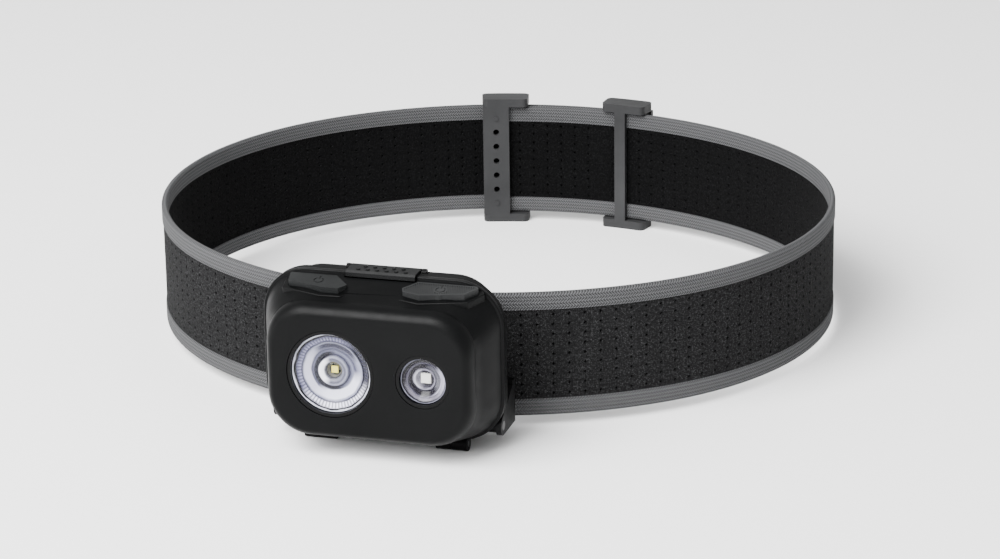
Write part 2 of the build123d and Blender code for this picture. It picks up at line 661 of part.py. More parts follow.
def ring(centre_x, outer, inner, front_y, depth, name):
    """Flat ring round a lens axis, written as its own piece."""
    with BuildPart() as piece:
        with BuildSketch(upright(front_y + depth)):
            with Locations((centre_x, LENS_Z)):
                Circle(outer)
                Circle(inner, mode=Mode.SUBTRACT)
        extrude(amount=depth)
    finish(piece.part, name)


for lens_name, lens_x, lens_r in (("spot", SPOT_X, SPOT_R), ("flood", FLOOD_X, FLOOD_R)):
    ring(lens_x, lens_r + BEZEL_W, lens_r + LENS_GAP / 2, FACE_Y + 0.2, 3.0, f"{lens_name}_bezel")
    ring(lens_x, lens_r, lens_r - 0.9, LENS_Y + FLANGE_T, SEAL_RING_T, f"{lens_name}_seal")
    cone_r = lens_r - 1.0
    bore_r = LED_W * 0.75
    tail_r = bore_r + TAIL_WALL
    tail_y = BOARD_Y - LENS_Y - LENS_GAP
    with BuildPart() as lens:
        axis_plane = Plane(
            origin=(lens_x, MID_Y + LENS_Y, LOWEST + LENS_Z), x_dir=(1, 0, 0), z_dir=(0, 0, 1)
        )
        with BuildSketch(axis_plane):
            with BuildLine():
                Polyline(
                    (0, 0),
                    (lens_r, 0),
                    (lens_r, FLANGE_T),
                    (cone_r, FLANGE_T),
                    (tail_r, tail_y),
                    (bore_r, tail_y),
                    (bore_r, tail_y - 2.2),
                    (0, tail_y - 3.0),
                    close=True,
                )
            make_face()
        revolve(axis=Axis((lens_x, MID_Y + LENS_Y, LOWEST + LENS_Z), (0, 1, 0)))
    finish(lens.part, f"{lens_name}_lens")
    with BuildPart() as led:
        with BuildSketch(upright(BOARD_Y)):
            with Locations((lens_x, LENS_Z)):
                Rectangle(LED_W, LED_W)
        extrude(amount=LED_T)
        with BuildSketch(upright(BOARD_Y - LED_T)):
            with Locations((lens_x, LENS_Z)):
                Circle(LED_DOME_R)
        extrude(amount=0.5, taper=20)
    finish(led.part, f"{lens_name}_led")

# ================================================================ boards inside the head


def stack_plate(y, thickness, half, low, high, holes, hole_r):
    """Flat plate across the lamp with round holes; its front lies at y."""
    with BuildPart() as plate:
        with BuildSketch(upright(y + thickness)):
            add(rounded(half, low, high, 1.5))
            with Locations(*holes):
                Circle(hole_r, mode=Mode.SUBTRACT)
        extrude(amount=thickness)
    return plate.part


led_board = stack_plate(
    BOARD_Y, BOARD_T, BOARD_HALF, BOARD_BOTTOM, BOARD_TOP, BOSS_SPOTS + TRAY_SPOTS, SCREW_R + 0.15
)
finish(led_board, "led_board")
heat_spreader = stack_plate(
    BOARD_Y + BOARD_T, SPREADER_T, BOARD_HALF, BOARD_BOTTOM, BOARD_TOP, BOSS_SPOTS + TRAY_SPOTS,
    SCREW_R + 0.15,
)
finish(heat_spreader, "heat_spreader")


def screws(spots, head_y, name):
    """Group of pan-head screws pointing forward from head_y."""
    reach = head_y - BOARD_Y + SCREW_BITE
    with BuildPart() as group:
        with BuildSketch(upright(head_y)):
            with Locations(*spots):
                Circle(SCREW_R)
        extrude(amount=reach)
        with BuildSketch(upright(head_y + SCREW_HEAD_T)):
            with Locations(*spots):
                Circle(SCREW_HEAD_R)
                RegularPolygon(SCREW_R * 0.6, 6, mode=Mode.SUBTRACT)
        extrude(amount=SCREW_HEAD_T)
    finish(group.part, name)


screws(BOSS_SPOTS, BOARD_Y + BOARD_T + SPREADER_T, "board_screws")
screws(TRAY_SPOTS, TRAY_Y + TRAY_T, "tray_screws")

with BuildPart() as battery_tray:
    with BuildSketch(upright(TRAY_Y + TRAY_T)):
        add(rounded(TRAY_HALF, TRAY_BOTTOM, TRAY_TOP, TRAY_R))
    extrude(amount=TRAY_T)
    for wall_x in (CELL_HALF + CONTACT_T, -CELL_HALF - CONTACT_T - END_WALL):
        with BuildSketch(beside(wall_x)):
            with Locations(((TRAY_Y + TRAY_REAR_Y) / 2, CELL_Z)):
                Rectangle(TRAY_REAR_Y - TRAY_Y, TRAY_WALL_H)
        extrude(amount=END_WALL)
    with BuildSketch(upright(TRAY_Y + TRAY_T)):
        with Locations(*BOSS_SPOTS):
            Circle(SCREW_HEAD_R + 0.3)
        with Locations(*TRAY_SPOTS):
            Circle(SCREW_R + 0.15)
    extrude(amount=TRAY_T, mode=Mode.SUBTRACT)
    # cradle ribs under the lowest cell and over the highest
    for rib_x in (-CELL_HALF / 2, CELL_HALF / 2):
        with BuildSketch(beside(rib_x - 0.6)):
            with Locations(((TRAY_Y + CELL_Y) / 2 + 0.5, CELL_Z)):
                Rectangle(CELL_Y - TRAY_Y + 1, TRAY_RIB_H)
            for i in (-1, 0, 1):
                with Locations((CELL_Y, CELL_Z + i * CELL_PITCH)):
                    Circle(CELL_R + 0.1, mode=Mode.SUBTRACT)
        extrude(amount=1.2)
finish(battery_tray.part, "battery_tray")

for index in range(3):
    cell_z = CELL_Z + (index - 1) * CELL_PITCH
    flip = -1 if index % 2 else 1
    body_start = -CELL_HALF + SPRING_L if flip > 0 else CELL_HALF - SPRING_L
    with BuildPart() as cell:
        with BuildSketch(beside(body_start)):
            with Locations((CELL_Y, cell_z)):
                Circle(CELL_R)
        extrude(amount=flip * CELL_L)
        chamfer(cell.edges(), 0.3)
        with BuildSketch(beside(body_start + flip * (CELL_L - 0.2))):
            with Locations((CELL_Y, cell_z)):
                Circle(CELL_NIB_R)
        extrude(amount=flip * (CELL_NIB_L + 0.2))
    finish(cell.part, f"cell_{index + 1}")
    spring_line = Helix(
        pitch=(SPRING_L - 2 * SPRING_WIRE_R) / 3,
        height=SPRING_L - 2 * SPRING_WIRE_R,
        radius=SPRING_R,
        center=(-flip * (CELL_HALF - SPRING_WIRE_R), MID_Y + CELL_Y, LOWEST + cell_z),
        direction=(flip, 0, 0),
        cone_angle=0,
    )
    with BuildPart() as cell_spring:
        with BuildSketch(Plane(origin=spring_line @ 0, z_dir=spring_line % 0)):
            Circle(SPRING_WIRE_R)
        sweep(path=spring_line, is_frenet=True)
    finish(cell_spring.part, f"cell_spring_{index + 1}")

# contact strips: one across two cells and one for a single cell on each side
CONTACT_H = CELL_PITCH - 4.4
for contact_name, plate_x, centre_i, count in (
    ("left_pair_contact", -CELL_HALF - CONTACT_T, 0.5, 2),
    ("left_contact", -CELL_HALF - CONTACT_T, -1.0, 1),
    ("right_pair_contact", CELL_HALF, -0.5, 2),
    ("right_contact", CELL_HALF, 1.0, 1),
):
    with BuildPart() as contact:
        with BuildSketch(beside(plate_x)):
            with Locations((CELL_Y, CELL_Z + centre_i * CELL_PITCH)):
                RectangleRounded(CELL_R * 1.4, CONTACT_H + (count - 1) * CELL_PITCH, 1.0)
        extrude(amount=CONTACT_T)
    finish(contact.part, contact_name)

# ================================================================ buttons and switches
SWITCH_BOARD_LOW = -3.6
SWITCH_BOARD_HIGH = 0.9
PRESS_DEPTH = SEAL_DEPTH - BUTTON_TRAVEL - 0.1


def label_arc(centre_x, centre_v, radius):
    """Broken ring with a bar, the usual sign for on and off, as a sketch."""
    with BuildSketch() as sign:
        with Locations((centre_x, centre_v)):
            Circle(radius)
            Circle(radius - 0.3, mode=Mode.SUBTRACT)
        with Locations((centre_x, centre_v + radius)):
            Rectangle(radius, radius, mode=Mode.SUBTRACT)
            Rectangle(0.3, radius * 1.1)
    return sign.sketch


for button_name, outline, stem_x in (
    ("power", POWER_OUTLINE, POWER_STEM_X),
    ("mode", MODE_OUTLINE, MODE_STEM_X),
):
    with BuildPart() as button:
        with BuildSketch(button_plane()):
            add(outline_of(outline, 0))
        extrude(amount=-BUTTON_H)
        with BuildSketch(button_plane()):
            with Locations((stem_x, STEM_V)):
                Circle(STEM_R)
        extrude(amount=-PRESS_DEPTH)
        if button_name == "mode":
            with BuildSketch(button_plane()):
                with Locations((stem_x, 0)):
                    with GridLocations(RIB_PITCH, 1, RIB_COUNT, 1):
                        Rectangle(RIB_W, 9, rotation=RIB_TURN)
                with Locations((stem_x, 0.2)):
                    Circle(SIGN_R + RIB_MARGIN, mode=Mode.SUBTRACT)
                add(outline_of(outline, -RIB_MARGIN, 0.1), mode=Mode.INTERSECT)
                add(label_arc(stem_x, 0.2, SIGN_R))
            extrude(amount=-RIB_H, mode=Mode.SUBTRACT)
        else:
            with BuildSketch(button_plane()):
                add(label_arc(stem_x, 0.2, SIGN_R))
            extrude(amount=-RIB_H, mode=Mode.SUBTRACT)
    finish(button.part, f"{button_name}_button")
    with BuildPart() as seal:
        with BuildSketch(button_plane(SEAL_DEPTH)):
            with Locations((stem_x, STEM_V)):
                Circle(SEAL_R)
        extrude(amount=-SEAL_T)
    finish(seal.part, f"{button_name}_seal")
    with BuildPart() as switch:
        with BuildSketch(button_plane(SEAL_DEPTH + SEAL_T + 0.4 + SWITCH_H)):
            with Locations((stem_x, STEM_V)):
                Rectangle(SWITCH_W, SWITCH_W * 0.8)
        extrude(amount=SWITCH_H)
        with BuildSketch(button_plane(SEAL_DEPTH + SEAL_T + 0.4)):
            with Locations((stem_x, STEM_V)):
                Circle(1.2)
        extrude(amount=0.3)
    finish(switch.part, f"{button_name}_switch")

SWITCH_BOARD_DEPTH = SEAL_DEPTH + SEAL_T + 0.4 + SWITCH_H
with BuildPart() as switch_board:
    with BuildSketch(button_plane(SWITCH_BOARD_DEPTH + 0.8)):
        with Locations((0.5, (SWITCH_BOARD_LOW + SWITCH_BOARD_HIGH) / 2)):
            RectangleRounded(43, SWITCH_BOARD_HIGH - SWITCH_BOARD_LOW, 1)
    extrude(amount=0.8)
finish(switch_board.part, "switch_board")

with BuildPart() as driver_chips:
    with BuildSketch(button_plane(SWITCH_BOARD_DEPTH)):
        with Locations((-4, STEM_V), (4, STEM_V)):
            Rectangle(3.5, 2.6)
    extrude(amount=0.9)
finish(driver_chips.part, "driver_chips")
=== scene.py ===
"""Headlamp: strap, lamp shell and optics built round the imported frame, with their finishes."""

import json
from math import asin, atan2, cos, degrees, hypot, pi, radians, sin

import bmesh
import bpy
from mathutils import Matrix, Vector


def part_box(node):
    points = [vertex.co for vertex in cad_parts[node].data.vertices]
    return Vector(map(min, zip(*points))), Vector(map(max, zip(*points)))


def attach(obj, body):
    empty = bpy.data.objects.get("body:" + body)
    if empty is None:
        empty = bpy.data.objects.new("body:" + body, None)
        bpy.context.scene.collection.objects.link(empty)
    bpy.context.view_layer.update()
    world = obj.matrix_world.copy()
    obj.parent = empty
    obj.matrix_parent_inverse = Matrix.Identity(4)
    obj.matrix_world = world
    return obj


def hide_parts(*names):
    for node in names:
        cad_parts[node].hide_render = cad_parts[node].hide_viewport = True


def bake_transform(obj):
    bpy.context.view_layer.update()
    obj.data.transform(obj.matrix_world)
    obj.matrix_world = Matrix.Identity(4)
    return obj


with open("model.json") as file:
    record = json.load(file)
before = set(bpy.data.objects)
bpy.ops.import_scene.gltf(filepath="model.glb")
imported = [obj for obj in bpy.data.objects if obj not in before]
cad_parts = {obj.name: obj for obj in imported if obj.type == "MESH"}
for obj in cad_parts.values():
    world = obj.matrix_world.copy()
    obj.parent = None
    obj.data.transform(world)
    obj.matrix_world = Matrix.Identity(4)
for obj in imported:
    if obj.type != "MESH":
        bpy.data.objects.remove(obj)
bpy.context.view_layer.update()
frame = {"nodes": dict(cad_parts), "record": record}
nodes = frame["nodes"]
MM = 0.001

# ------------------------------------------------------------------ sizes, in millimetres
# the loop of the headband, seen from above
WIDE_R = 96.6
WIDE_SHIFT = 9.3
SIDE_SHIFT = 8.0
SIDE_R = WIDE_R - hypot(SIDE_SHIFT, WIDE_SHIFT)
LAYER_SHIFT = 1.05
RAMP_DEG = 8.0
STRAP_H = 33.0
BEND_STEP = 2.2
PANEL_T = 1.2
PANEL_H = 31.8
SHADE_SHEET_T = 0.3
TAPE_T = 1.7
TAPE_H = 4.6
HOLE_PITCH_ALONG = 4.1
HOLE_PITCH_UP = 2.65
HOLE_R = 0.64
TAPE_STITCH = 0.75
TAPE_ROW = 0.95
OUTER_END_DEG = 79.03
INNER_END_DEG = 106.27
OUTER_SPLIT_DEG = 99.5
INNER_SPLIT_DEG = 86.0
LEFT_BUCKLE_EDGE_DEG = 99.7
RIGHT_BUCKLE_EDGE_DEG = 85.6

# the lamp's front face and its two lens axes, from the middle of the band
FACE_Y = -116.8
SPOT = (-9.5, 3.55)
FLOOD = (14.25, 3.55)

# where the band's and the lamp's measures start in the row frame
bottom_tape, top_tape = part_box("lower_binding"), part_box("upper_binding")
BAND_X = (top_tape[0].x + top_tape[1].x) / 2 / MM + LAYER_SHIFT
MIDDLE_Z = (bottom_tape[0].z + top_tape[1].z) / 2 / MM
MIDDLE_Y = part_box("front_shell")[0].y / MM - FACE_Y


def at(x, y, z):
    """A point given from the middle of the band, in the row frame and in metres."""
    return Vector((x, y + MIDDLE_Y, z + MIDDLE_Z)) * MM


# ------------------------------------------------------------------ camera
CAMERA_TURN = radians(16.34)
CAMERA_RISE = radians(18.75)
CAMERA_ROLL = radians(-0.84)
CAMERA_AWAY = 896.5
CAMERA_ACROSS = -0.62
CAMERA_UP = -8.92
CAMERA_LENS = 115.96

back = Vector((sin(CAMERA_TURN) * cos(CAMERA_RISE), -cos(CAMERA_TURN) * cos(CAMERA_RISE), sin(CAMERA_RISE)))
level_right = Vector((cos(CAMERA_TURN), sin(CAMERA_TURN), 0))
level_up = back.cross(level_right)
cam_right = level_right * cos(CAMERA_ROLL) + level_up * sin(CAMERA_ROLL)
cam_up = level_up * cos(CAMERA_ROLL) - level_right * sin(CAMERA_ROLL)
eye = back * CAMERA_AWAY + cam_right * CAMERA_ACROSS + cam_up * CAMERA_UP
eye = at(eye.x + BAND_X, eye.y, eye.z)
camera = bpy.data.objects.new("camera", bpy.data.cameras.new("camera"))
bpy.context.scene.collection.objects.link(camera)
camera.data.lens = CAMERA_LENS
camera.data.sensor_width = 36
camera.data.clip_end = 50
turn = Matrix((cam_right, cam_up, back)).transposed().to_4x4()
camera.matrix_world = Matrix.Translation(eye) @ turn
bpy.context.scene.camera = camera


# ------------------------------------------------------------------ finishes
class Finish:
    """A material with its nodes; each method adds one kind of detail and returns its output."""

    def __init__(self, name, colour, rough, metal=0.0, **sockets):
        self.mat = bpy.data.materials.new(name)
        self.mat.use_nodes = True
        self.nodes = self.mat.node_tree.nodes
        self.links = self.mat.node_tree.links
        self.shader = self.nodes["Principled BSDF"]
        self.shader.inputs["Base Color"].default_value = (*colour, 1)
        self.shader.inputs["Roughness"].default_value = rough
        self.shader.inputs["Metallic"].default_value = metal
        for socket, value in sockets.items():
            self.shader.inputs[socket.replace("_", " ")].default_value = value
        self.coords = self.nodes.new("ShaderNodeTexCoord")
        self.normal = None

    def place(self, kind="Object", scale=(1, 1, 1), turned=(0, 0, 0), moved=(0, 0, 0)):
        mapping = self.nodes.new("ShaderNodeMapping")
        mapping.inputs["Scale"].default_value = scale
        mapping.inputs["Rotation"].default_value = turned
        mapping.inputs["Location"].default_value = moved
        self.links.new(self.coords.outputs[kind], mapping.inputs["Vector"])
        return mapping.outputs["Vector"]

    def noise(self, where, scale, detail=3.0, rough=0.55):
        node = self.nodes.new("ShaderNodeTexNoise")
        node.inputs["Scale"].default_value = scale
        node.inputs["Detail"].default_value = detail
        node.inputs["Roughness"].default_value = rough
        self.links.new(where, node.inputs["Vector"])
        return node.outputs["Fac"]

    def cells(self, where, scale, spread=1.0, feature="F1"):
        node = self.nodes.new("ShaderNodeTexVoronoi")
        node.feature = feature
        node.inputs["Scale"].default_value = scale
        node.inputs["Randomness"].default_value = spread
        self.links.new(where, node.inputs["Vector"])
        return node.outputs["Distance"]

    def axes(self, where):
        node = self.nodes.new("ShaderNodeSeparateXYZ")
        self.links.new(where, node.inputs[0])
        return node.outputs

    def polar(self, centre):
        """Distance from a lens axis, in millimetres, and the angle round it."""
        x, _, z = self.axes(self.place(moved=(-centre[0] * MM, 0, -(centre[1] + MIDDLE_Z) * MM)))
        squares = [self.maths("MULTIPLY", axis, axis) for axis in (x, z)]
        length = self.maths("SQRT", self.maths("ADD", *squares))
        return self.maths("DIVIDE", length, MM), self.maths("ARCTAN2", z, x)

    def facing(self, angle, middle, half):
        """1 towards one side of the axis, falling to 0 at half the given width either way."""
        offset = self.maths("SUBTRACT", angle, radians(middle))
        return self.spread(self.maths("COSINE", offset), cos(radians(half)), 1)

    def within(self, value, low, high, soft):
        """1 between two limits, with soft edges."""
        rise = self.spread(value, low - soft, low + soft)
        fall = self.spread(value, high + soft, high - soft)
        return self.maths("MULTIPLY", rise, fall)

    def bands(self, value, stops, top):
        """Colours laid along a value that runs from 0 to top."""
        node = self.nodes.new("ShaderNodeValToRGB")
        self.links.new(self.maths("DIVIDE", value, top), node.inputs[0])
        ramp = node.color_ramp
        for index, (place, colour) in enumerate(stops):
            entry = ramp.elements[index] if index < 2 else ramp.elements.new(1)
            entry.position = place / top
            entry.color = (*(OPTIC_SHADE * channel**OPTIC_CURVE for channel in colour), 1)
        return node.outputs[0]

    def ripple(self, axis, pitch, kind="UV"):
        """Even waves from 0 to 1 along one axis."""
        value = self.axes(self.place(kind))["XYZ".index(axis)]
        wave = self.maths("SINE", self.maths("MULTIPLY", value, 2 * pi / pitch))
        return self.spread(wave, -1, 1)

    def herringbone(self, pitch, row):
        """Waves that slant one way in one row and the other way in the next."""
        x, y, _ = self.axes(self.place("UV"))
        folded = self.maths("PINGPONG", y, row)
        wave = self.maths("SINE", self.maths("MULTIPLY", self.maths("ADD", x, folded), 2 * pi / pitch))
        return self.spread(wave, -1, 1)

    def maths(self, kind, first, second=None):
        node = self.nodes.new("ShaderNodeMath")
        node.operation = kind
        for socket, value in zip(node.inputs, (first, second)):
            if hasattr(value, "links"):
                self.links.new(value, socket)
            elif value is not None:
                socket.default_value = value
        return node.outputs[0]

    def spread(self, value, low, high, to_low=0.0, to_high=1.0):
        node = self.nodes.new("ShaderNodeMapRange")
        self.links.new(value, node.inputs["Value"])
        for socket, number in zip(("From Min", "From Max", "To Min", "To Max"), (low, high, to_low, to_high)):
            node.inputs[socket].default_value = number
        return node.outputs["Result"]

    def mix(self, share, dark, light):
        node = self.nodes.new("ShaderNodeMix")
        node.data_type = "RGBA"
        self.links.new(share, node.inputs[0])
        for index, value in ((6, dark), (7, light)):
            if hasattr(value, "links"):
                self.links.new(value, node.inputs[index])
            else:
                node.inputs[index].default_value = (*value, 1)
        return node.outputs[2]

    def colour(self, value):
        self.links.new(value, self.shader.inputs["Base Color"])

    def roughness(self, value):
        self.links.new(value, self.shader.inputs["Roughness"])

    def relief(self, height, depth, strength=1.0):
        """Bump of the given depth in metres, laid over the relief that is there already."""
        node = self.nodes.new("ShaderNodeBump")
        node.inputs["Strength"].default_value = strength
        node.inputs["Distance"].default_value = depth
        self.links.new(height, node.inputs["Height"])
        if self.normal:
            self.links.new(self.normal, node.inputs["Normal"])
        self.normal = node.outputs["Normal"]
        self.links.new(self.normal, self.shader.inputs["Normal"])


def moulded(name, colour, rough, grain=0.00003, **sockets):
    """Moulded plastic with a fine spark-eroded grain and faint handling marks."""
    finish = Finish(name, colour, rough, **sockets)
    here = finish.place()
    fine = finish.noise(here, 2600, 2.0)
    broad = finish.noise(here, 55, 4.0)
    finish.relief(fine, grain, 0.6)
    lighter = tuple(min(1, c * 1.3) for c in colour)
    darker = tuple(c * 0.82 for c in colour)
    finish.colour(finish.mix(finish.spread(broad, 0.3, 0.7), darker, lighter))
    finish.roughness(finish.spread(finish.noise(here, 320, 3.0), 0.25, 0.75, rough - 0.05, rough + 0.06))
    return finish.mat


def metal(name, colour, rough):
    """Drawn or plated metal with fine scratches."""
    finish = Finish(name, colour, rough, 1.0)
    here = finish.place(scale=(1, 12, 12))
    scratch = finish.noise(here, 420, 4.0)
    finish.relief(scratch, 0.00001, 0.5)
    finish.colour(finish.mix(finish.spread(scratch, 0.3, 0.7), tuple(c * 0.8 for c in colour), colour))
    finish.roughness(finish.spread(scratch, 0.2, 0.8, rough - 0.08, rough + 0.1))
    return finish.mat


def panel_finish(name, dark, light):
    """Knitted elastic: loops in rows; the raised crossings between the holes are painted lighter and the dips
    between loops are painted shade.
    """
    finish = Finish(name, dark, 0.95, Specular_IOR_Level=0.08)
    flat = finish.place("UV")
    loops = finish.cells(finish.place("UV", scale=(1.0, 1.5, 1)), 2100, 0.6)
    rows = finish.ripple("Y", HOLE_PITCH_UP * MM)
    yarn = finish.noise(flat, 1500, 3.0, 0.7)
    loft = finish.noise(finish.place("UV", scale=(1, 0.35, 1)), 160, 3.0)
    raised = finish.spread(loops, 0.0, 0.7, 1.0, 0.0)
    height = finish.maths("ADD", raised, finish.maths("MULTIPLY", rows, 0.25))
    finish.relief(height, 0.0003, 1.0)
    # Painted light and shade: the raised loops lighter, the dips between them darker.
    lit = finish.spread(loops, 0.15, 0.6, 1.0, 0.1)
    share = finish.maths("MULTIPLY", lit, finish.spread(yarn, 0.4, 0.65))
    share = finish.maths("MULTIPLY", share, finish.spread(loft, 0.25, 0.75, 0.6, 1.0))
    finish.colour(finish.mix(share, dark, light))
    return finish.mat


def tape_finish(name, dark, light):
    """Herringbone tape: short slanted stitches that change direction in every row."""
    finish = Finish(name, dark, 0.85, Specular_IOR_Level=0.2)
    flat = finish.place("UV")
    stitch = finish.herringbone(TAPE_STITCH * MM, TAPE_ROW * MM)
    rows = finish.ripple("Y", TAPE_ROW * MM)
    fibre = finish.noise(flat, 2300, 3.0)
    height = finish.maths("ADD", stitch, finish.maths("MULTIPLY", rows, 0.5))
    finish.relief(height, 0.00016, 1.0)
    threads = finish.spread(fibre, 0.25, 0.75, 0.6, 1.0)
    # Painted shade: the colour follows the stitch height, darker in the grooves and lighter on raised
    # stitches, with random thread tone.
    share = finish.maths("MULTIPLY", finish.spread(height, 0.2, 1.3), threads)
    finish.colour(finish.mix(share, dark, light))
    return finish.mat


SHELL = moulded("black shell plastic", (0.0016, 0.0017, 0.0018), 0.4, Specular_IOR_Level=0.07)
CASE = moulded("black case plastic", (0.0013, 0.0013, 0.0014), 0.5, Specular_IOR_Level=0.06)
BRACKET = moulded("black bracket plastic", (0.0022, 0.0022, 0.0024), 0.48, Specular_IOR_Level=0.08)
BUCKLE = moulded("grey buckle plastic", (0.022, 0.0222, 0.023), 0.5, Specular_IOR_Level=0.12)
TAB = moulded("grey tab plastic", (0.0046, 0.0048, 0.005), 0.5, Specular_IOR_Level=0.1)
POWER = moulded("smooth button plastic", (0.0088, 0.0094, 0.0096), 0.45, Specular_IOR_Level=0.12)
MODE = moulded("ribbed button plastic", (0.014, 0.0145, 0.0148), 0.5, Specular_IOR_Level=0.14)
BEZEL = moulded("bezel plastic", (0.001, 0.001, 0.0011), 0.3, Specular_IOR_Level=0.1)
RUBBER = moulded("seal rubber", (0.004, 0.004, 0.004), 0.7, Specular_IOR_Level=0.15)
TRAY = moulded("tray plastic", (0.02, 0.02, 0.022), 0.5)
CHIP = moulded("chip plastic", (0.015, 0.015, 0.015), 0.4)
BOARD = moulded("solder mask", (0.01, 0.06, 0.03), 0.3)
JACKET = moulded("cell jacket", (0.11, 0.18, 0.25), 0.28)
# Near-black sheet behind the holes of the knit: painted shade seen through them.
HOLE_SHADE = moulded("painted hole shade", (0.0003, 0.0003, 0.0003), 0.95, Specular_IOR_Level=0.02)
STEEL = metal("bright steel", (0.62, 0.62, 0.6), 0.3)
DARK_STEEL = metal("blackened steel", (0.09, 0.09, 0.09), 0.4)
ALUMINIUM = metal("spreader aluminium", (0.75, 0.76, 0.77), 0.35)
CERAMIC = moulded("led ceramic", (0.85, 0.85, 0.82), 0.4)
PANEL = panel_finish("knitted panel", (0.0045, 0.0045, 0.0047), (0.056, 0.0565, 0.058))
# A darker copy of the knit for the inside of the band: painted shade.
PANEL_INSIDE_SHADE = panel_finish("knitted panel inside, painted shade", (0.0002, 0.0002, 0.0003), (0.013, 0.0132, 0.0138))
TAPE = tape_finish("herringbone tape", (0.016, 0.0162, 0.0167), (0.105, 0.106, 0.11))

SLOT_FINISH = {
    "band_mesh": PANEL, "band_edge": TAPE, "bracket_plastic": BRACKET, "buckle_plastic": BUCKLE,
    "case_plastic": CASE, "shell_plastic": SHELL, "tab_plastic": TAB, "seal_rubber": RUBBER,
    "pin_steel": DARK_STEEL, "bezel_plastic": BEZEL, "clear_optic": CERAMIC, "led_body": CERAMIC,
    "board": BOARD, "spreader_aluminium": ALUMINIUM, "screw_steel": STEEL, "tray_plastic": TRAY,
    "cell_jacket": JACKET, "spring_steel": STEEL, "contact_steel": STEEL, "switch_steel": STEEL,
    "chip_plastic": CHIP, "power_plastic": POWER, "mode_plastic": MODE,
}
for part in frame["record"]["subparts"]:
    node = nodes[part["node"]]
    node.data.materials.clear()
    node.data.materials.append(SLOT_FINISH[part["material_slot"]])


# ------------------------------------------------------------------ shared steps
def piece(name, bm, material, body, smooth=35):
    """Turns a finished bmesh into an object that rides on a body."""
    mesh = bpy.data.meshes.new(name)
    bm.to_mesh(mesh)
    bm.free()
    obj = bpy.data.objects.new(name, mesh)
    bpy.context.scene.collection.objects.link(obj)
    mesh.materials.append(material)
    soften(mesh, smooth)
    if body:
        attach(obj, body)
    return obj


def soften(mesh, smooth):
    """Smooth shading, with edges sharper than the given angle kept crisp."""
    for face in mesh.polygons:
        face.use_smooth = True
    bm = bmesh.new()
    bm.from_mesh(mesh)
    for edge in bm.edges:
        edge.smooth = len(edge.link_faces) == 2 and edge.calc_face_angle(pi) < radians(smooth)
    bm.to_mesh(mesh)
    bm.free()


def baked(obj):
    """Replaces an object's mesh by the result of its modifiers."""
    graph = bpy.context.evaluated_depsgraph_get()
    mesh = bpy.data.meshes.new_from_object(obj.evaluated_get(graph))
    obj.modifiers.clear()
    obj.data = mesh
    return obj


# ------------------------------------------------------------------ strap
JOIN_DEG = degrees(asin(SIDE_SHIFT / hypot(SIDE_SHIFT, WIDE_SHIFT)))
ARCS = (
    ((0, -WIDE_SHIFT), WIDE_R, OUTER_END_DEG, 90 + JOIN_DEG - OUTER_END_DEG),
    ((-SIDE_SHIFT, 0), SIDE_R, 90 + JOIN_DEG, 180 - 2 * JOIN_DEG),
    ((0, WIDE_SHIFT), WIDE_R, 270 - JOIN_DEG, 2 * JOIN_DEG),
    ((SIDE_SHIFT, 0), SIDE_R, JOIN_DEG - 90, 180 - 2 * JOIN_DEG),
    ((0, -WIDE_SHIFT), WIDE_R, 90 - JOIN_DEG, INNER_END_DEG - 90 + JOIN_DEG),
)
ARC_LENGTHS = [radians(sweep) * radius for _, radius, _, sweep in ARCS]
BAND_LENGTH = sum(ARC_LENGTHS)


def band_point(along, depth, up):
    """Where a point of the flat strap lies once the strap is closed into its loop."""
    left = min(max(along, 0.0), BAND_LENGTH)
    for index, ((cx, cy), radius, start, sweep) in enumerate(ARCS):
        if left <= ARC_LENGTHS[index] or index == len(ARCS) - 1:
            break
        left -= ARC_LENGTHS[index]
    angle = start + degrees(left / radius)
    if index == 2:
        share = min(max((angle - 270 + RAMP_DEG) / (2 * RAMP_DEG), 0), 1)
        share = share * share * (3 - 2 * share)
    else:
        share = 0.0 if index < 2 else 1.0
    reach = radius + LAYER_SHIFT * (1 - 2 * share) + depth
    return at(BAND_X + cx + reach * cos(radians(angle)), cy + reach * sin(radians(angle)), up)


def along_outer(angle):
    """Distance along the strap of an angle on the outer layer at the rear."""
    return radians(angle - OUTER_END_DEG) * WIDE_R


def along_inner(angle):
    """Distance along the strap of an angle on the inner layer at the rear."""
    return BAND_LENGTH - radians(INNER_END_DEG - angle) * WIDE_R


def wrap(bm):
    """Lays a flat strap piece round the loop: x is along, y is up and z is out, in millimetres."""
    layer = bm.loops.layers.uv.new("cloth")
    for face in bm.faces:
        for loop in face.loops:
            co = loop.vert.co
            loop[layer].uv = (co.x * MM, (co.y + co.z * 0.7) * MM)
    for vert in bm.verts:
        vert.co = band_point(vert.co.x, vert.co.z, vert.co.y)


